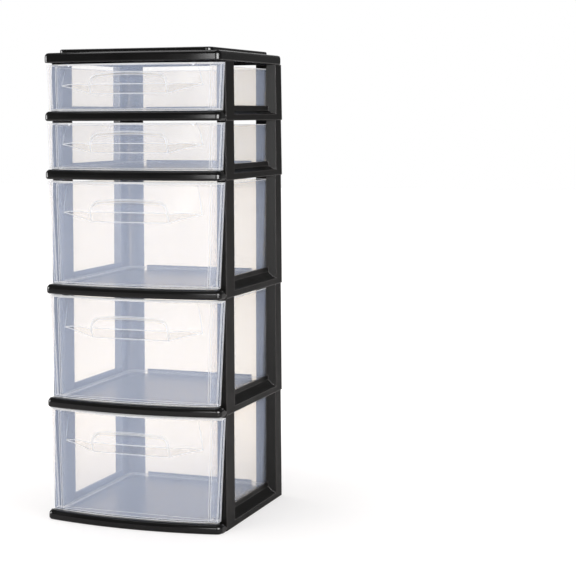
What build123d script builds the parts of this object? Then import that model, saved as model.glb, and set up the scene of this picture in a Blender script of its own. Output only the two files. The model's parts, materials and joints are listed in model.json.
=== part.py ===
"""Plastic drawer tower: five clear drawers that slide on the decks of a stacked black frame.

Millimetres. +Z is up, the drawers open towards -Y, and +X is the right side seen from the front.
The origin is on the floor, in the middle of the tower's width and of its full depth.
"""
import os
from math import radians, tan

from build123d import *

# ---------------------------------------------------------------------------
# Driving sizes
# ---------------------------------------------------------------------------
tower_width = 310.0           # over the side frames, and over the lips
side_depth = 310.0            # from the ends of a lip to the back
lip_bow = 19.5                # the middle of a lip stands this far ahead of its ends

deep_pitch = 190.0            # height of a tier with a deep drawer
shallow_pitch = 95.5          # height of a tier with a shallow drawer
deep_tiers = 3
shallow_tiers = 2

# Frame mouldings
frame_wall = 2.4
frame_depth = 16.5            # from a side frame's outer face to its inner plane
tier_taper = 1.5              # each tier's top is drawn in this much from its foot
post_setback = 28.0           # the front posts stand behind the lip ends
front_post_width = 39.0
rear_post_width = 30.0
flange_reach = 47.0           # the rear post wraps this far round the back corner
reveal_draft = 8.0            # the window narrows by this much, front and rear, on its way in
rail_height = 10.0            # flat outer face of the bottom rail
bevel_depth = 13.5            # how far the bevel runs inwards above that face
sill_strip = 8.0              # upright strip between the bevel and the window
deep_sill = 30.0              # window sill above the foot of a deep tier
shallow_sill = 24.5           # the same on a shallow tier

# Pegs on the posts, which plug into the deck or cover above
peg_diameter = 8.0
peg_height = 8.0
peg_clearance = 0.3           # all round, and above the peg
peg_inset = 9.5               # from the outer face of the side frame to the peg's axis
ear_height = 12.0             # the deck's corner block that sits in the post's channel
ear_gap = 0.6                 # from the block to the walls of the channel

# Decks
lip_height = 16.0
lip_top_radius = 7.5
lip_bottom_radius = 4.0
lip_corner_radius = 11.0      # in plan, where the lip turns back along the side
scroll_length = 15.0          # the lip's end slopes down to the post over this length
scroll_drop = 10.0
pan_drop = 2.0                # the deck's plate lies this far below the top of the lip
deck_gap = 0.3                # from the deck's skirt to the side frames
deck_rib = 2.0
deck_rib_count = 3
runner_width = 8.0
runner_inset = 24.0           # from the drawer's side to the runner, at the bottom
stop_height = 8.0             # upstand behind the drawer
stop_width = 200.0
stop_thickness = 2.4

# Top cover
cover_height = 16.0
cover_top_radius = 6.5
cover_bottom_radius = 2.0
cover_back_radius = 9.0
panel_rise = 6.0              # the raised flat panel on the cover
panel_margin = 20.0           # from the cover's sides to the raised panel
panel_front_margin = 14.0     # behind the ends of the lip
panel_back_margin = 13.0
panel_corner_radius = 12.0
panel_edge_radius = 2.5

# Drawers
drawer_wall = 2.2
drawer_setback = 11.5         # the drawer's front stands this far behind the edge of the lip
drawer_side_inset = 0.5       # top corners of the front, inside the tower's width
front_draft = 2.8             # degrees, the sides of the front lean in towards the bottom
front_lift = 0.8              # bottom of the front above the lip
front_headroom = 3.0          # top of the front below the next tier
return_depth = 12.5           # the ears fold back by this much
rim_flange = 6.0              # flange behind the top edge of the front
rim_drop = 4.5                # the box's rim lies below the top of the front
box_gap = 1.2                 # from the box's rim to the side frame's inner plane
box_draft = 1.6               # degrees
box_corner_radius = 14.0      # upright corners at the back
box_foot_radius = 6.0         # round the bottom
runner_gap = 0.3              # under the drawer
rear_gap = 0.8                # behind the closed drawer

# The moulded pull: a proud band across the top, with an arched finger pocket in it
band_side_inset = 7.0         # the band fades into the front this far from the side edges
band_rim_bow = 5.0            # how proud the band is at the rim, on the middle line
band_bow = 9.5                # and along its lower crease
arch_width = 150.0            # between the feet of the arch
arch_lean = 7.0               # each side of the arch leans in by this much
arch_crown = 3.0              # the arch's top is domed by this much
arch_draft = 18.0             # degrees, the arch narrows on its way in
pocket_ridge = 5.0            # how proud the pocket's ridge is of the lower front
pocket_depth = 5.0            # how far the pocket's top reaches behind the lower front
deep_pull = {"arch": 28.0, "crease": 49.0, "feet": 65.0, "round": 17.0}
shallow_pull = {"arch": 13.0, "crease": 33.0, "feet": 48.0, "round": 17.0}

# ---------------------------------------------------------------------------
# Places worked out from the sizes
# ---------------------------------------------------------------------------
half_width = tower_width / 2
total_depth = side_depth + lip_bow
back_y = total_depth / 2
lip_end_y = back_y - side_depth
post_front_y = lip_end_y + post_setback
inner_x = half_width - frame_depth
reveal_front_y = post_front_y + front_post_width
reveal_rear_y = back_y - rear_post_width
peg_x = half_width - peg_inset
peg_front_y = post_front_y + front_post_width / 2
peg_rear_y = back_y - rear_post_width / 2
skirt_x = inner_x - deck_gap
deck_back_y = back_y - tier_taper - frame_wall - deck_gap
pan_top = lip_height - pan_drop
front_y = lip_end_y + drawer_setback
front_half = half_width - drawer_side_inset
box_half = inner_x - box_gap
box_back_y = deck_back_y - stop_thickness - rear_gap
far = 1000.0                  # longer than the tower in any direction


# ---------------------------------------------------------------------------
# Helpers: prisms along one axis, and plans with a bowed front
# ---------------------------------------------------------------------------
def prism_xy(points, z_low, z_high):
    """Upright prism over a polygon in plan."""
    outline = Polyline(*[(x, y, z_low) for x, y in points], close=True)
    return extrude(make_face(outline), amount=z_high - z_low, dir=(0, 0, 1))


def prism_xz(points, y_low, y_high):
    """Prism from front to back over a polygon seen from the front."""
    outline = Polyline(*[(x, y_low, z) for x, z in points], close=True)
    return extrude(make_face(outline), amount=y_high - y_low, dir=(0, 1, 0))


def prism_yz(points, x_low, x_high):
    """Prism from side to side over a polygon seen from the side."""
    outline = Polyline(*[(x_low, y, z) for y, z in points], close=True)
    return extrude(make_face(outline), amount=x_high - x_low, dir=(1, 0, 0))


def block(x_low, x_high, y_low, y_high, z_low, z_high):
    """Plain box between two corners."""
    return prism_xy([(x_low, y_low), (x_high, y_low), (x_high, y_high), (x_low, y_high)], z_low, z_high)


def bowed_plan(half, end_y, bow, rear_y, z=0.0):
    """Face with a bowed front through (+-half, end_y), and straight sides back to rear_y."""
    front = ThreePointArc((-half, end_y, z), (0, end_y - bow, z), (half, end_y, z))
    rest = Polyline((half, end_y, z), (half, rear_y, z), (-half, rear_y, z), (-half, end_y, z))
    return make_face([front, rest])


def bowed_slab(half, end_y, rear_y, height, corner, top_radius, bottom_radius=0.0, back_corner=0.0):
    """Slab with a bowed front, round corners in plan, and a rounded nose."""
    plan = bowed_plan(half, end_y, lip_bow, rear_y)
    plan = fillet(plan.vertices().sort_by(Axis.Y)[:2], corner)
    if back_corner > 0:
        plan = fillet(plan.vertices().sort_by(Axis.Y)[-2:], back_corner)
    slab = extrude(plan, amount=height, dir=(0, 0, 1))

    def nose(edges):
        if back_corner > 0:
            return edges
        return [edge for edge in edges if edge.center().Y < rear_y - 0.01]

    slab = fillet(nose(slab.edges().group_by(Axis.Z)[-1]), top_radius)
    if bottom_radius > 0:
        slab = fillet(nose(slab.edges().group_by(Axis.Z)[0]), bottom_radius)
    return slab


def mirrored(solid):
    """The same solid on the other side of the tower."""
    return mirror(solid, about=Plane.YZ)


# ---------------------------------------------------------------------------
# Side frame: a channel-section moulding, open to the inside and open at the top
# ---------------------------------------------------------------------------
def side_frame(pitch, sill):
    """Right side frame of one tier, standing on z = 0."""
    wall = frame_wall
    lean = tier_taper / pitch
    side_outline = [(post_front_y, 0), (back_y, 0), (back_y - tier_taper, pitch), (post_front_y + tier_taper, pitch)]
    end_outline = [(inner_x, 0), (half_width, 0), (half_width - tier_taper, pitch), (inner_x, pitch)]
    frame = prism_yz(side_outline, inner_x, half_width) & prism_xz(end_outline, post_front_y, back_y)

    # The window with its slanted reveals, bevel and sill
    sill_x = half_width - bevel_depth
    bevel_top = sill - sill_strip
    past = 5.0
    slope = reveal_draft / frame_depth
    reveals = [
        (half_width + past, reveal_front_y - past * slope),
        (inner_x - past, reveal_front_y + reveal_draft + past * slope),
        (inner_x - past, reveal_rear_y - reveal_draft - past * slope),
        (half_width + past, reveal_rear_y + past * slope),
    ]
    bevel = [
        (half_width + past, rail_height),
        (half_width, rail_height),
        (half_width - bevel_depth * 0.5, rail_height + (bevel_top - rail_height) * 0.3),
        (sill_x, bevel_top),
        (sill_x, sill),
        (inner_x - past, sill),
        (inner_x - past, pitch + past),
        (half_width + past, pitch + past),
    ]
    window = prism_xy(reveals, 0, pitch + past) & prism_xz(bevel, post_front_y, back_y)
    frame -= window

    # The channels of the posts, under a closed top that carries the pegs
    outer = half_width - wall
    channel_end = [
        (inner_x - past, -past),
        (outer + past * lean, -past),
        (outer - (pitch - wall) * lean, pitch - wall),
        (inner_x - past, pitch - wall),
    ]
    front_channel = [
        (inner_x - past, post_front_y + wall + tier_taper),
        (half_width, post_front_y + wall + tier_taper),
        (half_width, reveal_front_y - wall),
        (inner_x - past, reveal_front_y - wall + reveal_draft + past * slope),
    ]
    rear_channel = [
        (inner_x - past, reveal_rear_y + wall - reveal_draft - past * slope),
        (half_width, reveal_rear_y + wall),
        (half_width, back_y - wall - tier_taper),
        (inner_x - past, back_y - wall - tier_taper),
    ]
    channel = prism_xz(channel_end, post_front_y, back_y)
    frame -= channel & prism_xy(front_channel, -past, pitch)
    frame -= channel & prism_xy(rear_channel, -past, pitch)

    # The hollow under the bottom rail and its bevel
    under_bevel = [
        (inner_x - past, -past),
        (outer, -past),
        (outer, rail_height - wall / 2),
        (half_width - bevel_depth * 0.5, rail_height + (bevel_top - rail_height) * 0.3 - wall),
        (sill_x, bevel_top - wall),
        (inner_x - past, bevel_top - wall),
    ]
    frame -= prism_xz(under_bevel, post_front_y + wall + tier_taper, back_y - wall - tier_taper)

    # The rear post's flange round the back corner
    flange = [(back_y - wall, 0), (back_y, 0), (back_y - tier_taper, pitch), (back_y - tier_taper - wall, pitch)]
    frame += prism_yz(flange, half_width - flange_reach, inner_x + wall)

    for peg_y in (peg_front_y, peg_rear_y):
        frame += Pos(peg_x, peg_y, pitch - wall / 2) * Cylinder(
            peg_diameter / 2, peg_height + wall / 2, align=(Align.CENTER, Align.CENTER, Align.MIN)
        )
    return frame


# ---------------------------------------------------------------------------
# Corner blocks with the sockets for the pegs
# ---------------------------------------------------------------------------
def corner_blocks(inner_edge, height):
    """The four blocks that sit in the posts' channels, and the tools that bore their sockets."""
    outer = half_width - frame_wall - ear_gap
    front = (post_front_y + frame_wall + tier_taper + ear_gap, reveal_front_y - frame_wall - ear_gap)
    rear = (reveal_rear_y + frame_wall + ear_gap, back_y - frame_wall - tier_taper - ear_gap)
    radius = peg_diameter / 2 + peg_clearance
    depth = peg_height + peg_clearance
    blocks = []
    sockets = []
    for (y_low, y_high), peg_y in ((front, peg_front_y), (rear, peg_rear_y)):
        ear = block(inner_edge, outer, y_low, y_high, 0, height)
        socket = Pos(peg_x, peg_y, -1) * Cylinder(
            radius, depth + 1, align=(Align.CENTER, Align.CENTER, Align.MIN)
        )
        blocks += [ear, mirrored(ear)]
        sockets += [socket, mirrored(socket)]
    return blocks, sockets


# ---------------------------------------------------------------------------
# Deck: an inverted tray with a bowed lip
# ---------------------------------------------------------------------------
def deck():
    """The deck of one tier, standing on z = 0."""
    wall = frame_wall
    lip = bowed_slab(
        half_width, lip_end_y, post_front_y, lip_height, lip_corner_radius, lip_top_radius, lip_bottom_radius
    )
    hollow = bowed_slab(
        half_width - wall,
        lip_end_y + wall,
        post_front_y - wall,
        lip_height - wall + 1,
        lip_corner_radius - wall,
        lip_top_radius - wall,
    )
    lip -= Pos(0, 0, -1) * hollow
    scroll = [
        (post_front_y - scroll_length, lip_height),
        (post_front_y - scroll_length * 0.4, lip_height - scroll_drop * 0.75),
        (post_front_y + 1, lip_height - scroll_drop),
        (post_front_y + 1, lip_height + 1),
        (post_front_y - scroll_length, lip_height + 1),
    ]
    scroll_cut = prism_yz(scroll, inner_x, half_width + 1)
    under = [(y, z - wall) for y, z in scroll[:3]]
    under += [(post_front_y + 1, -1), (post_front_y - scroll_length - 1, -1)]
    under += [(post_front_y - scroll_length - 1, lip_height - wall)]
    scroll_wall = block(
        inner_x, half_width - wall / 2, post_front_y - scroll_length - 1, post_front_y, 0, lip_height - wall / 2
    ) - prism_yz(under, inner_x, half_width - wall)
    lip = (lip + scroll_wall) - scroll_cut - mirrored(scroll_cut) + (mirrored(scroll_wall) - mirrored(scroll_cut))

    pan = block(-skirt_x, skirt_x, post_front_y, deck_back_y, 0, pan_top)
    pan -= block(-skirt_x + wall, skirt_x - wall, post_front_y, deck_back_y - wall, -1, pan_top - wall)
    tray = lip + pan

    rib_pitch = 2 * skirt_x / (deck_rib_count + 1)
    for index in range(deck_rib_count):
        rib_x = -skirt_x + rib_pitch * (index + 1)
        tray += block(
            rib_x - deck_rib / 2, rib_x + deck_rib / 2, post_front_y - wall / 2, deck_back_y - wall / 2,
            pan_drop, pan_top - wall / 2,
        )
    runner_x = box_half - runner_inset
    for side in (-1, 1):
        tray += block(
            side * runner_x - runner_width / 2, side * runner_x + runner_width / 2,
            post_front_y - wall, deck_back_y, pan_top - wall / 2, lip_height,
        )
    tray += block(
        -stop_width / 2, stop_width / 2, deck_back_y - stop_thickness, deck_back_y,
        pan_top - wall / 2, lip_height + stop_height,
    )

    blocks, sockets = corner_blocks(skirt_x - wall / 2, ear_height)
    for ear in blocks:
        tray += ear
    for socket in sockets:
        tray -= socket
    return tray


# ---------------------------------------------------------------------------
# Top cover
# ---------------------------------------------------------------------------
def top_cover():
    """The cover, with its rim standing on z = 0."""
    wall = frame_wall
    rear_y = back_y - tier_taper
    cover = bowed_slab(
        half_width, lip_end_y, rear_y, cover_height, lip_corner_radius, cover_top_radius,
        cover_bottom_radius, cover_back_radius,
    )
    hollow = bowed_slab(
        half_width - wall, lip_end_y + wall, rear_y - wall, cover_height - wall + 1,
        lip_corner_radius - wall, cover_top_radius - wall, 0.0, cover_back_radius - wall,
    )

    def raised(margin, base, top, edge_radius):
        x_half = half_width - panel_margin - margin
        y_low = lip_end_y + panel_front_margin + margin
        y_high = rear_y - panel_back_margin - margin
        slab = block(-x_half, x_half, y_low, y_high, base, top)
        slab = fillet(slab.edges().filter_by(Axis.Z), panel_corner_radius - margin)
        if edge_radius > 0:
            slab = fillet(slab.edges().group_by(Axis.Z)[-1], edge_radius)
        return slab

    top = cover_height + panel_rise
    cover += raised(0, cover_height - wall / 2, top, panel_edge_radius)
    cover -= Pos(0, 0, -1) * hollow
    cover -= raised(wall, cover_height - wall - 1, top - wall, 0)
    blocks, sockets = corner_blocks(inner_x, cover_height - wall / 2)
    for ear in blocks:
        cover += ear
    for socket in sockets:
        cover -= socket
    return cover


# ---------------------------------------------------------------------------
# Drawer
# ---------------------------------------------------------------------------
def front_bow_y(x, half, end_y, bow):
    """Where a bow through (+-half, end_y) stands at x."""
    radius = (half**2 + bow**2) / (2 * bow)
    return end_y - bow + radius - (radius**2 - x**2) ** 0.5


def front_trapezoid(z_low, z_high, z_top, inset):
    """Outline of the drawer's front, seen from the front; its sides lean in towards the bottom."""
    lean = tan(radians(front_draft))

    def half(z):
        return front_half - inset - (z_top - z) * lean

    return [(-half(z_low), z_low), (half(z_low), z_low), (half(z_high), z_high), (-half(z_high), z_high)]


def box_trapezoid(z_low, z_high, z_rim, inset):
    """Outline of the drawer's box, seen from the front."""
    lean = tan(radians(box_draft))

    def half(z):
        return box_half - inset - (z_rim - z) * lean

    return [(-half(z_low), z_low), (half(z_low), z_low), (half(z_high), z_high), (-half(z_high), z_high)]


def pull_bow(pull):
    """How proud the band would be at the height of the arch's feet, on the middle line."""
    return band_rim_bow + (band_bow - band_rim_bow) * pull["feet"] / pull["crease"]


def pull_band(z_top, pull):
    """The proud band across the top of the front, with its two slanted facets underneath."""
    z_crease = z_top - pull["crease"]
    z_feet = z_top - pull["feet"]
    lean = tan(radians(front_draft))
    half_top = front_half - band_side_inset
    half_low = half_top - pull["feet"] * lean
    buried = 2.0
    rim = bowed_plan(half_top, front_y + buried, lip_bow + band_rim_bow + buried, front_y + buried + 1, z_top)
    low = bowed_plan(half_low, front_y + buried, lip_bow + pull_bow(pull) + buried, front_y + buried + 1, z_feet)
    band = loft([low, rim], ruled=True)

    foot_x = arch_width / 2
    side = (half_low, front_bow_y(half_low, front_half, front_y, lip_bow), z_crease)
    foot = (foot_x, front_bow_y(foot_x, front_half, front_y, lip_bow) + drawer_wall / 2, z_feet)
    crease = (foot_x, front_bow_y(foot_x, half_low, front_y, lip_bow + band_bow), z_crease)
    along = Vector(*side) - Vector(*crease)
    down = Vector(*foot) - Vector(*crease)
    normal = along.cross(down)
    if normal.Z > 0:
        normal = normal * -1
    facet = Plane(origin=crease, x_dir=along, z_dir=normal)
    below = facet * Box(far, far, far, align=(Align.CENTER, Align.CENTER, Align.MIN))
    right = (band & block(0, far, -far, far, 0, far)) - below
    return right + mirrored(right)


def arch_face(y, top_z, foot_z, round_radius, shrink):
    """The arch's outline, drawn in by shrink; its feet run on below the pocket."""
    half_foot = arch_width / 2 - shrink
    half_top = half_foot - arch_lean
    shoulder_z = top_z - shrink - arch_crown
    sides = Polyline(
        (half_top, y, shoulder_z), (half_foot, y, foot_z), (-half_foot, y, foot_z), (-half_top, y, shoulder_z)
    )
    crown = ThreePointArc((-half_top, y, shoulder_z), (0, y, top_z - shrink), (half_top, y, shoulder_z))
    face = make_face([sides, crown])
    return fillet(face.vertices().sort_by(Axis.Z)[-2:], round_radius - shrink)


def pull_pocket(z_top, pull, grow):
    """The arched finger pocket; grow makes the larger one that leaves a wall round it."""
    z_arch = z_top - pull["arch"]
    z_crease = z_top - pull["crease"]
    z_feet = z_top - pull["feet"] - grow
    proud = pull_bow(pull) + 1
    length = proud + lip_bow + pocket_depth + grow
    start_y = front_y - lip_bow - proud
    shrink = tan(radians(arch_draft)) * length
    below = z_feet - shrink - 1
    outer = arch_face(start_y, z_arch, below, pull["round"], -grow)
    inner = arch_face(start_y + length, z_arch, below, pull["round"], shrink - grow)
    arch = loft([outer, inner], ruled=True)

    # The pocket's back wall turns about the same upright axis as the front's bow
    radius = (front_half**2 + lip_bow**2) / (2 * lip_bow)
    axis_y = front_y - lip_bow + radius
    wall_line = [
        (radius + proud, z_feet),
        (radius - grow, z_feet),
        (radius + pocket_ridge - grow, z_crease),
        (radius - pocket_depth - grow, z_arch + grow),
        (radius + proud, z_arch + grow + 1),
    ]
    outline = Polyline(*[(0, axis_y - r, z) for r, z in wall_line], close=True)
    ring = revolve(make_face(outline), axis=Axis((0, axis_y, 0), (0, 0, 1)), revolution_arc=60)
    ring = Pos(0, axis_y, 0) * Rot(0, 0, -30) * Pos(0, -axis_y, 0) * ring
    return arch & ring


def drawer(pitch, pull):
    """One clear drawer: a box with a bowed overlay front, standing in its tier."""
    wall = drawer_wall
    z_low = lip_height + front_lift
    z_top = pitch - front_headroom
    z_floor = lip_height + runner_gap
    z_rim = z_top - rim_drop
    ear_y = front_y + return_depth

    # The overlay front, as a block and as the hollow behind its skin
    def bow_block(shift, rear, low, high, inset):
        plan = bowed_plan(front_half, front_y + shift, lip_bow, rear, low)
        slab = extrude(plan, amount=high - low, dir=(0, 0, 1))
        return slab & prism_xz(front_trapezoid(low, high, z_top, inset), -far, far)

    band = pull_band(z_top, pull)
    front = bow_block(0, ear_y, z_low, z_top, 0) + band
    hollow = bow_block(wall, ear_y + 1, z_low + wall, z_top - wall, wall)
    trimmed_band = (Pos(0, wall, 0) * band) & block(-far, far, -far, far, 0, z_top - wall)
    hollow = hollow + trimmed_band - pull_pocket(z_top, pull, wall)

    # The box behind it, and the space inside the box
    back_lean = tan(radians(box_draft)) * (z_rim - z_floor)

    def box_shape(low, high, inset, start):
        side_view = [
            (start, low),
            (box_back_y - back_lean - inset, low),
            (box_back_y - inset, high),
            (start, high),
        ]
        shape = prism_xz(box_trapezoid(low, high, z_rim, inset), start, box_back_y)
        shape &= prism_yz(side_view, -far, far)
        middle = (low + high) / 2
        corners = [edge for edge in shape.edges() if edge.center().Y > 0 and abs(edge.center().Z - middle) < 1]
        shape = fillet(corners, box_corner_radius - inset)
        foot = [edge for edge in shape.edges().group_by(Axis.Z)[0] if edge.center().Y > start + 1]
        return fillet(foot, box_foot_radius - inset)

    box = box_shape(z_floor, z_rim, 0, front_y - lip_bow)
    box &= extrude(bowed_plan(front_half, front_y + wall / 2, lip_bow, far), amount=far, dir=(0, 0, 1))
    inside = box_shape(z_floor + wall, z_rim + 1, wall, ear_y - 2 * wall)
    side_walls = prism_xz(box_trapezoid(z_low, z_top, z_rim, 0), -far, ear_y + 2)
    side_walls -= prism_xz(box_trapezoid(z_low - 1, z_top + 1, z_rim, wall), -far, ear_y + 2)
    side_walls &= block(-far, far, -far, ear_y + 2, z_low, z_rim)
    hollow -= side_walls

    # Above the box the skin's top flange is open, so that the box fills from the top
    mouth = bowed_plan(front_half, front_y + wall + rim_flange, lip_bow, ear_y + 2, z_rim)
    mouth = extrude(mouth, amount=z_top - z_rim + 1, dir=(0, 0, 1))
    mouth &= prism_xz(box_trapezoid(z_rim - 1, z_top + 2, z_rim, wall), -far, far)
    return (front + box) - pull_pocket(z_top, pull, 0) - hollow - inside - mouth


# ---------------------------------------------------------------------------
# The tower, from the floor up
# ---------------------------------------------------------------------------
def build():
    """Write every piece to its own STEP file, in its place in the tower."""
    os.makedirs("parts", exist_ok=True)
    tiers = [(deep_pitch, deep_sill, deep_pull)] * deep_tiers
    tiers += [(shallow_pitch, shallow_sill, shallow_pull)] * shallow_tiers
    deck_shape = deck()
    shapes = {}
    foot = 0.0
    for number, (pitch, sill, pull) in enumerate(tiers, start=1):
        if pitch not in shapes:
            shapes[pitch] = (side_frame(pitch, sill), drawer(pitch, pull))
        frame_shape, drawer_shape = shapes[pitch]
        place = Pos(0, 0, foot)
        export_step(place * deck_shape, f"parts/deck_{number}.step")
        export_step(place * frame_shape, f"parts/side_frame_right_{number}.step")
        export_step(place * mirrored(frame_shape), f"parts/side_frame_left_{number}.step")
        export_step(place * drawer_shape, f"parts/drawer_{number}.step")
        foot += pitch
    export_step(Pos(0, 0, foot) * top_cover(), "parts/top_cover.step")


build()
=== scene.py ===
# %% [markdown]
# # A plastic drawer tower
# The tower is a stack of black polypropylene mouldings that carries five clear drawers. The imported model
# already has every piece at its real size and place, so this lesson gives those pieces smooth shading and
# finishes, sets up a plain studio, and points a camera at the tower.

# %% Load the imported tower
import json
from math import radians

import bmesh
import bpy
import numpy as np
from mathutils import Matrix, Vector


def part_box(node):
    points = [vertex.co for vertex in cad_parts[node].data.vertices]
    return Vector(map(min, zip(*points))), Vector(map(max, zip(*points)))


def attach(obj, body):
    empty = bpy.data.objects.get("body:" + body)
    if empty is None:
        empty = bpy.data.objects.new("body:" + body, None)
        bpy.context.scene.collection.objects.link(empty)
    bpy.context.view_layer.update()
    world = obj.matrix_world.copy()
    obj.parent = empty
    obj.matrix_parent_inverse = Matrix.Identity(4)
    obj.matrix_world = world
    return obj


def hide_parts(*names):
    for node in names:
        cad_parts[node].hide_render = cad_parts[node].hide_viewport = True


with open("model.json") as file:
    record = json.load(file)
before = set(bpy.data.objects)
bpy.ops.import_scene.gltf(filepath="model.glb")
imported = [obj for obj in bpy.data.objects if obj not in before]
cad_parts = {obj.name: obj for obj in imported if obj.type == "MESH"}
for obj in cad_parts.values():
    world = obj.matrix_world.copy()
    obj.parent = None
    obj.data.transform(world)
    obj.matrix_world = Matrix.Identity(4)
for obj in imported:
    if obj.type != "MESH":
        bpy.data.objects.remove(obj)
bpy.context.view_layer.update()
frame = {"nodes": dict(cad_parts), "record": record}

MM = 0.001
WHITE = (1, 1, 1, 1)
nodes = frame["nodes"]
bodies = frame["record"]["behaviour"]["bodies"]
body_of = {name: body for body, names in bodies.items() for name in names}

# %% [markdown]
# ## The camera
# The photograph was taken from the front and a little to the right, from a little below the level of the
# tower's top, looking slightly down, with a long lens that keeps the uprights nearly parallel. The lens shift
# does what a shift lens does in a studio: it slides the picture sideways without turning the camera, because
# the tower stands left of the middle. Place, turns, lens and shift come from matching about forty corners of
# the tower to the photograph.

# %% Point the camera
turn_left, look_down, roll = 22.054, 4.611, 0.254


def turned(degrees, axis):
    """The turn by an angle in degrees about one axis, as a matrix."""
    return Matrix.Rotation(radians(degrees), 3, axis)


scene = bpy.context.scene
camera = bpy.data.objects.new("camera", bpy.data.cameras.new("camera"))
scene.collection.objects.link(camera)
scene.camera = camera
camera.location = (1.0824, -2.6349, 0.6754)
camera.rotation_euler = (turned(turn_left, "Z") @ turned(90 - look_down, "X") @ turned(-roll, "Z")).to_euler()
camera.data.lens = 104.9
camera.data.sensor_width = 36
camera.data.shift_x = 0.1997
camera.data.shift_y = -0.0660
camera.data.clip_end = 50
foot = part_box("deck_1")[0]
print("camera stands", round((camera.location - foot).length, 2), "m from the foot of the tower")

# %% [markdown]
# ## Three helpers
# Colours are picked as sRGB hex values, the way a paint chart gives them, but shaders add light in linear
# values, so one function converts them. Another adds a shader node with its settings and links, so that each
# finish below reads as a short list. The third starts an empty material for such a list.

# %% Colour and node helpers
def linear(code):
    """Linear colour from an sRGB hex code: a value up to 0.04045 is divided by 12.92, and a higher one has
    0.055 added, is divided by 1.055 and raised to the power 2.4."""
    srgb = np.array([int(code[i:i + 2], 16) for i in (1, 3, 5)]) / 255
    value = np.where(srgb <= 0.04045, srgb / 12.92, ((srgb + 0.055) / 1.055) ** 2.4)
    return (*value.tolist(), 1.0)


def add(tree, kind, sockets=None, **settings):
    """Add a shader node, give it its settings, and fill or link its input sockets by name or number."""
    node = tree.nodes.new(kind)
    for name, value in settings.items():
        setattr(node, name, value)
    for key, value in (sockets or {}).items():
        if isinstance(value, bpy.types.NodeSocket):
            tree.links.new(value, node.inputs[key])
        else:
            node.inputs[key].default_value = value
    return node


def new_material(name):
    """An empty node material, and its tree."""
    material = bpy.data.materials.new(name)
    material.use_nodes = True
    material.node_tree.nodes.clear()
    return material, material.node_tree


print("mid grey #808080 is", np.round(linear("#808080")[:3], 3).tolist(), "in linear light")

# %% [markdown]
# ## The studio
# A product photograph of this kind is taken on a white sweep: a floor and a backdrop so bright that they come
# out pure white, with only a soft shadow round the foot. So the world is white to the camera, and gives an
# even, weaker light to the tower. Reflections see a third world: dark all round, as in a studio with its
# lights down, and white only behind the tower, where the backdrop hangs. That keeps the black gloss black.

# %% The white world
def seen_directly(tree):
    """1 for what the camera sees, also through a clear wall, and 0 for light and reflections."""
    path = add(tree, "ShaderNodeLightPath").outputs
    return add(tree, "ShaderNodeMath", {0: path["Is Camera Ray"], 1: path["Is Transmission Ray"]},
               operation="MAXIMUM").outputs[0]


toward_backdrop = (-0.376, 0.926, 0.0)
even_light = 0.80
dark_side = 0.13
world = bpy.data.worlds.new("studio_world")
scene.world = world
world.use_nodes = True
tree = world.node_tree
tree.nodes.clear()
direction = add(tree, "ShaderNodeTexCoord").outputs["Generated"]
toward = add(tree, "ShaderNodeVectorMath", {0: direction, 1: toward_backdrop}, operation="DOT_PRODUCT")
backdrop = add(tree, "ShaderNodeMapRange",
               {"Value": toward.outputs["Value"], "From Min": 0.90, "From Max": 0.99,
                "To Min": dark_side, "To Max": 1.0}, interpolation_type="SMOOTHSTEP")
glossy = add(tree, "ShaderNodeLightPath").outputs["Is Glossy Ray"]
unseen = add(tree, "ShaderNodeMix", {"Factor": glossy, 2: even_light, 3: backdrop.outputs[0]})
strength = add(tree, "ShaderNodeMix", {"Factor": seen_directly(tree), 2: unseen.outputs[0], 3: 1.0})
light = add(tree, "ShaderNodeBackground", {"Color": WHITE, "Strength": strength.outputs[0]})
add(tree, "ShaderNodeOutputWorld", {"Surface": light.outputs[0]})
print("world: 1.0 to the camera,", even_light, "as light, and from", dark_side, "to 1.0 in reflections")

# %% [markdown]
# ## The floor
# The sweep is pale grey paper that the lamps light, so it takes the tower's shadow. To the camera alone it
# also glows, at about half of white near the foot and more from a metre out, so the shadow fades into white, and
# the weaker glow near the foot adds painted shade round the foot.

# %% The floor
half_floor = 12


def grid_mesh(name, points):
    """Mesh of a grid of points, shape (rows, columns, 3), with a four-sided face between four neighbours."""
    rows, columns = points.shape[:2]
    index = np.arange(rows * columns).reshape(rows, columns)
    quads = np.stack([index[:-1, :-1], index[:-1, 1:], index[1:, 1:], index[1:, :-1]], -1).reshape(-1, 4)
    mesh = bpy.data.meshes.new(name)
    mesh.from_pydata(points.reshape(-1, 3).tolist(), [], quads.tolist())
    mesh.update()
    return mesh


span = np.linspace(-half_floor, half_floor, 9)
across, along = np.meshgrid(span, span)
floor = bpy.data.objects.new("floor", grid_mesh("floor", np.stack([across, along, 0 * across], -1)))
scene.collection.objects.link(floor)
sweep, tree = new_material("white_paper_sweep")
place = add(tree, "ShaderNodeTexCoord").outputs["Object"]
far = add(tree, "ShaderNodeVectorMath", {0: place}, operation="LENGTH")
# painted shade: the glow is weaker near the foot, so the floor there is darker
glow = add(tree, "ShaderNodeMapRange",
           {"Value": far.outputs["Value"], "From Min": 0.2, "From Max": 1.0, "To Min": 0.52, "To Max": 0.80},
           interpolation_type="SMOOTHSTEP")
glow = add(tree, "ShaderNodeMath", {0: seen_directly(tree), 1: glow.outputs[0]}, operation="MULTIPLY")
paper = add(tree, "ShaderNodeBsdfPrincipled",
            {"Base Color": linear("#b7b4b3"), "Roughness": 0.9,
             "Emission Color": WHITE, "Emission Strength": glow.outputs[0]})
add(tree, "ShaderNodeOutputMaterial", {"Surface": paper.outputs[0]})
floor.data.materials.append(sweep)
print("floor:", len(floor.data.polygons), "faces")

# %% [markdown]
# ## The lamps
# A wide soft lamp from the upper left gives the drawers their shape, one overhead lights the lid, and a weak
# fill from the right lights the drawers' side walls. Black gloss shows only what it mirrors, so three more
# are there to be seen in it: a softbox in front for the lips, and a reflector on each side for the rounded
# corners and edges. The softbox lights the tower as well, and the reflectors are only mirrored.

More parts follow.
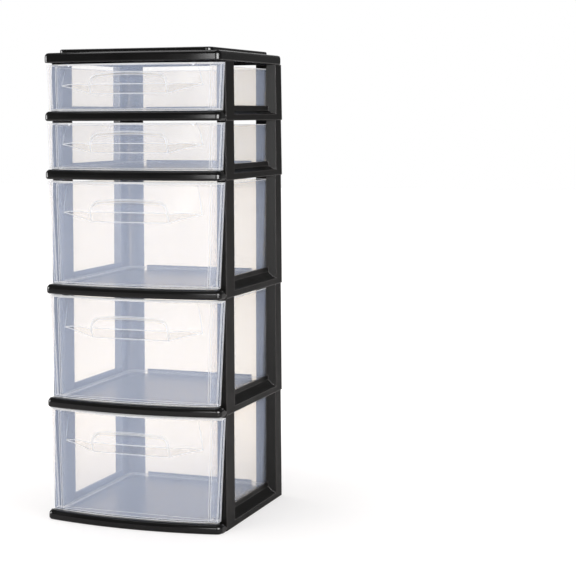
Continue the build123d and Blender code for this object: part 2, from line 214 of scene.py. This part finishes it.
# %% The lamps
def soft_lamp(name, place, aim_height, width, height, watts, lights=True, mirrored=True):
    """A rectangular soft lamp that faces a point above the tower's foot: it lights, is mirrored, or both."""
    lamp = bpy.data.lights.new(name, "AREA")
    lamp.shape, lamp.size, lamp.size_y, lamp.energy = "RECTANGLE", width, height, watts
    holder = bpy.data.objects.new(name, lamp)
    scene.collection.objects.link(holder)
    holder.location = place
    aim = Vector((0, 0, aim_height)) - Vector(place)
    holder.rotation_euler = aim.to_track_quat("-Z", "Y").to_euler()
    holder.visible_diffuse = holder.visible_transmission = lights
    holder.visible_glossy = mirrored
    return holder


lamps = [
    soft_lamp("key_softbox", (-1.5, -2.7, 2.1), 0.4, width=2.2, height=2.2, watts=39, mirrored=False),
    soft_lamp("top_softbox", (-0.4, 0.1, 2.3), 0.8, width=1.2, height=1.2, watts=10),
    soft_lamp("front_softbox", (0.60, -3.2, 0.9), 0.45, width=0.5, height=1.2, watts=16),
    soft_lamp("corner_reflector", (2.4, -1.5, 0.8), 0.45, width=1.6, height=1.2, watts=90, lights=False),
    soft_lamp("left_reflector", (-2.7, -0.5, 0.8), 0.45, width=1.0, height=1.2, watts=45, lights=False),
    soft_lamp("right_fill", (2.6, -0.6, 1.2), 0.4, width=1.6, height=1.6, watts=14, mirrored=False),
]
print("lamps:", [lamp.name for lamp in lamps])

# %% [markdown]
# ## Black polypropylene
# The frame is moulded in polypropylene coloured through with carbon black. The mould for the lid and the lips
# is polished, so they are deep black with crisp highlights. The mould for the side frames is lightly etched,
# which scatters the light and makes them a shade greyer. Real grain is about 0.15 mm, too fine to show, so it
# is drawn 0.7 mm wide. No moulding has knife edges: they are rounded by a millimetre or two and polished by
# handling, and that thin rounding catches the light and outlines a dark piece. A Bevel modifier would be clamped
# to nothing here by the short edges of the imported mesh, so a Bevel node rounds the shading instead, and where
# it turns the normal, the plastic is smoother and has a clear coat, which stands for that polish. There its
# colour is also made lighter, which is a painted highlight along the edge.

# %% Where an edge is
def edge_mask(tree, radius, start, full):
    """The rounded normal, and how far the rounding turns the surface: the root of one minus the turn's
    cosine, drawn out so that start is 0 and full is 1."""
    rounded = add(tree, "ShaderNodeBevel", {"Radius": radius}, samples=6).outputs[0]
    flat = add(tree, "ShaderNodeNewGeometry").outputs["Normal"]
    alike = add(tree, "ShaderNodeVectorMath", {0: rounded, 1: flat}, operation="DOT_PRODUCT")
    turn = add(tree, "ShaderNodeMath", {0: 1.0, 1: alike.outputs["Value"]}, operation="SUBTRACT",
               use_clamp=True)
    turn = add(tree, "ShaderNodeMath", {0: turn.outputs[0], 1: 0.5}, operation="POWER")
    mask = add(tree, "ShaderNodeMapRange", {"Value": turn.outputs[0], "From Min": start, "From Max": full})
    return rounded, mask.outputs[0]


print("a right angle's middle turns 45 degrees, where the root is", round((1 - 0.5 ** 0.5) ** 0.5, 2))

# %% The two black finishes
grain_width = 0.7 * MM
handling_width = 45 * MM
rubbed_roughness = 0.16
# painted highlight: the lighter colour that the edges of the black plastic take, standing for the light their
# rounding catches
painted_edge_highlight = linear("#3a3735")


def black_plastic(name, tones, sheen_range, specular, grain_height, rounding):
    """Black polypropylene, with two tones and two roughnesses that the marks of handling mix, and a clear coat
    and a lighter painted highlight along its edges.
    """
    material, tree = new_material(name)
    place = add(tree, "ShaderNodeTexCoord").outputs["Object"]
    grain = add(tree, "ShaderNodeTexNoise", {"Vector": place, "Scale": 1 / grain_width, "Detail": 2.0})
    handling = add(tree, "ShaderNodeTexNoise", {"Vector": place, "Scale": 1 / handling_width, "Detail": 3.0})
    marks = handling.outputs["Fac"]
    rounded, edge = edge_mask(tree, rounding, 0.05, 0.35)
    sheen = add(tree, "ShaderNodeMapRange", {"Value": marks, "From Min": 0.3, "From Max": 0.7,
                                             "To Min": sheen_range[0], "To Max": sheen_range[1]})
    sheen = add(tree, "ShaderNodeMix", {"Factor": edge, 2: sheen.outputs[0], 3: rubbed_roughness})
    tone = add(tree, "ShaderNodeMix", {"Factor": marks, 6: linear(tones[0]), 7: linear(tones[1])},
               data_type="RGBA")
    # painted highlight: the edge mask lightens the colour along every edge
    tone = add(tree, "ShaderNodeMix", {"Factor": edge, 6: tone.outputs[2], 7: painted_edge_highlight},
               data_type="RGBA")
    relief = add(tree, "ShaderNodeBump", {"Height": grain.outputs["Fac"], "Strength": 0.25,
                                          "Distance": grain_height, "Normal": rounded})
    skin = add(tree, "ShaderNodeBsdfPrincipled",
               {"Base Color": tone.outputs[2], "Roughness": sheen.outputs[0], "IOR": 1.49,
                "Specular IOR Level": specular, "Coat Weight": edge, "Coat Roughness": rubbed_roughness,
                "Normal": relief.outputs[0]})
    add(tree, "ShaderNodeOutputMaterial", {"Surface": skin.outputs[0]})
    print(name + ":", len(tree.nodes), "nodes")
    return material


polished_black = black_plastic(
    "black_polypropylene_polished", tones=("#060606", "#0a0909"), sheen_range=(0.15, 0.24),
    specular=0.50, grain_height=0.02 * MM, rounding=0.8 * MM)
etched_black = black_plastic(
    "black_polypropylene_etched", tones=("#0f0e0d", "#141312"), sheen_range=(0.34, 0.44),
    specular=0.20, grain_height=0.06 * MM, rounding=2.2 * MM)

# %% [markdown]
# ## Clear polypropylene
# The drawers are moulded in clarified polypropylene. It isn't glass: crystals much smaller than the wall's
# thickness scatter blue light more than red, so the plastic veils what is dark behind it with a cool
# blue-grey, while white behind it stays nearly white and a touch warm. Each surface that a ray crosses
# therefore lets a warm share straight through and adds a share of pale blue. The through colour is above one
# because it is multiplied by that share: seen straight on, 0.83 of the red and 0.75 of the blue get through
# each surface in all. Clear plastic pipes light to its edges and creases, so they and the top rim, which is
# marked face by face, get a painted highlight, a milkier and whiter wall, and a painted glow, an emission though
# they are no lamp.

# %% The drawers' finish
clear_pp, tree = new_material("clear_polypropylene_polished")
place = add(tree, "ShaderNodeTexCoord").outputs["Object"]
flow = add(tree, "ShaderNodeTexNoise", {"Vector": place, "Scale": 1 / (60 * MM), "Detail": 2.0})
ripple = add(tree, "ShaderNodeBump", {"Height": flow.outputs["Fac"], "Strength": 0.3, "Distance": 0.5 * MM})
rim = add(tree, "ShaderNodeAttribute", attribute_name="rim").outputs["Fac"]
creases = edge_mask(tree, 1.5 * MM, 0.012, 0.09)[1]
edge = add(tree, "ShaderNodeMath", {0: creases, 1: rim}, operation="MAXIMUM").outputs[0]
facing = add(tree, "ShaderNodeLayerWeight", {"Blend": 0.5}).outputs["Facing"]
grazing = add(tree, "ShaderNodeMath", {0: facing, 1: 5.0}, operation="POWER")
mirror = add(tree, "ShaderNodeMapRange", {"Value": grazing.outputs[0], "To Min": 0.02, "To Max": 0.15})
slant = add(tree, "ShaderNodeMath", {0: facing, 1: 3.0}, operation="POWER")
cloud = add(tree, "ShaderNodeMapRange", {"Value": slant.outputs[0], "To Min": 0.26, "To Max": 0.20})
# painted highlight: at edges, creases and the rim the wall turns nearly opaque and near-white
cloud = add(tree, "ShaderNodeMix", {"Factor": edge, 2: cloud.outputs[0], 3: 0.92})
veil_and_edge_highlight = add(tree, "ShaderNodeMix", {"Factor": edge, 6: linear("#cfdefc"), 7: linear("#fcfdff")},
           data_type="RGBA")
through = add(tree, "ShaderNodeBsdfTransparent", {"Color": (1.14, 1.10, 1.03, 1)})
scatter = add(tree, "ShaderNodeBsdfDiffuse", {"Color": veil_and_edge_highlight.outputs[2]})
soak = add(tree, "ShaderNodeBsdfTranslucent", {"Color": veil_and_edge_highlight.outputs[2]})
milk = add(tree, "ShaderNodeMixShader", {0: 0.25, 1: scatter.outputs[0], 2: soak.outputs[0]})
# painted glow: edges, creases and the rim emit light of their own, though they are no lamp
painted_glow_share = add(tree, "ShaderNodeMath", {0: edge, 1: 0.32}, operation="MULTIPLY")
painted_edge_glow = add(tree, "ShaderNodeEmission", {"Color": WHITE, "Strength": 1.0})
milk = add(tree, "ShaderNodeMixShader", {0: painted_glow_share.outputs[0], 1: milk.outputs[0], 2: painted_edge_glow.outputs[0]})
wall = add(tree, "ShaderNodeMixShader", {0: cloud.outputs[0], 1: through.outputs[0], 2: milk.outputs[0]})
gloss = add(tree, "ShaderNodeBsdfGlossy", {"Color": WHITE, "Roughness": 0.28, "Normal": ripple.outputs[0]})
surface = add(tree, "ShaderNodeMixShader", {0: mirror.outputs[0], 1: wall.outputs[0], 2: gloss.outputs[0]})
add(tree, "ShaderNodeOutputMaterial", {"Surface": surface.outputs[0]})
print("clear polypropylene:", len(tree.nodes), "nodes")

# %% [markdown]
# ## Finished pieces
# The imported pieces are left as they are, and each gets a finished copy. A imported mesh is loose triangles, so
# the copy's triangles are first joined and its flat areas made one face each. Gentle bends, such as the bowed
# lips and their noses, are shaded smooth, sharper ones stay crisp, and the Weighted Normal modifier keeps the
# flats flat.

# %% Finish one piece
weld_distance = 2e-6
sliver_length = 1e-6
flat_within = 0.4
crisp_bend = 30.0


def finished(name, material, crisp_angles=None):
    """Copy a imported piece, join its triangles, and mark the edges that bend by more than crisp_bend degrees.

    crisp_angles gives, for edge middles of shape (n, 3), the angles to use instead."""
    mesh = bpy.data.meshes.new(name + "_moulding")
    build = bmesh.new()
    build.from_mesh(nodes[name].data)
    bmesh.ops.remove_doubles(build, verts=build.verts, dist=weld_distance)
    bmesh.ops.dissolve_degenerate(build, edges=build.edges, dist=sliver_length)
    bmesh.ops.dissolve_limit(build, angle_limit=radians(flat_within), verts=build.verts, edges=build.edges)
    limits = np.full(len(build.edges), crisp_bend)
    if crisp_angles is not None:
        limits = crisp_angles(np.array([(e.verts[0].co + e.verts[1].co) / 2 for e in build.edges]))
    bends = np.array([e.calc_face_angle(0.0) for e in build.edges])
    for bent, crisp in zip(build.edges, bends > np.radians(limits)):
        bent.smooth = not crisp
    for face in build.faces:
        face.smooth = True
    build.to_mesh(mesh)
    build.free()
    mesh.materials.append(material)
    piece = bpy.data.objects.new(name + "_moulding", mesh)
    scene.collection.objects.link(piece)
    weigh = piece.modifiers.new("even_shading", "WEIGHTED_NORMAL")
    weigh.keep_sharp = True
    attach(piece, body_of[name])
    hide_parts(name)
    return piece


# %% Finish the black pieces
frame_names = sorted(n for n in nodes if not n.startswith("drawer"))
finishes = {n: etched_black if n.startswith("side_frame") else polished_black for n in frame_names}
black_pieces = [finished(n, finishes[n]) for n in frame_names]
print(len(black_pieces), "black pieces,", sum(len(p.data.polygons) for p in black_pieces), "faces")

# %% [markdown]
# ## The drawers
# A drawer's front carries the moulded pull, whose shallow creases have to stay crisp to be seen in clear
# plastic, so edges there count as sharp from five degrees. The faces of the top rim get a mark of their own,
# an attribute that the finish reads to give the rim the painted highlight and painted glow of the edges.

# %% Finish the drawers
rim_height = 2.4 * MM
pull_height = 70 * MM
front_wall = -120 * MM
pull_bend = 5.0


def finished_drawer(name):
    """A drawer in clear plastic, with a crisp pull and a marked rim."""
    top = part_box(name)[1].z

    def crisp_angles(middles):
        """The pull's bend for edges in front of the front wall and near the top, crisp_bend elsewhere."""
        on_pull = (middles[:, 2] > top - pull_height) & (middles[:, 1] < front_wall)
        return np.where(on_pull, pull_bend, crisp_bend)

    piece = finished(name, clear_pp, crisp_angles)
    centres = np.empty(len(piece.data.polygons) * 3)
    piece.data.polygons.foreach_get("center", centres)
    on_rim = centres[2::3] > top - rim_height
    piece.data.attributes.new("rim", "FLOAT", "FACE").data.foreach_set("value", on_rim.astype(np.float32))
    return piece


drawers = [finished_drawer(n) for n in sorted(nodes) if n.startswith("drawer")]
print(len(drawers), "clear drawers,", sum(len(p.data.polygons) for p in drawers), "faces")

# %% [markdown]
# ## Finish
# The view is set to Standard, so that a colour renders as it is written.

# %% Finish
scene.view_settings.view_transform = "Standard"
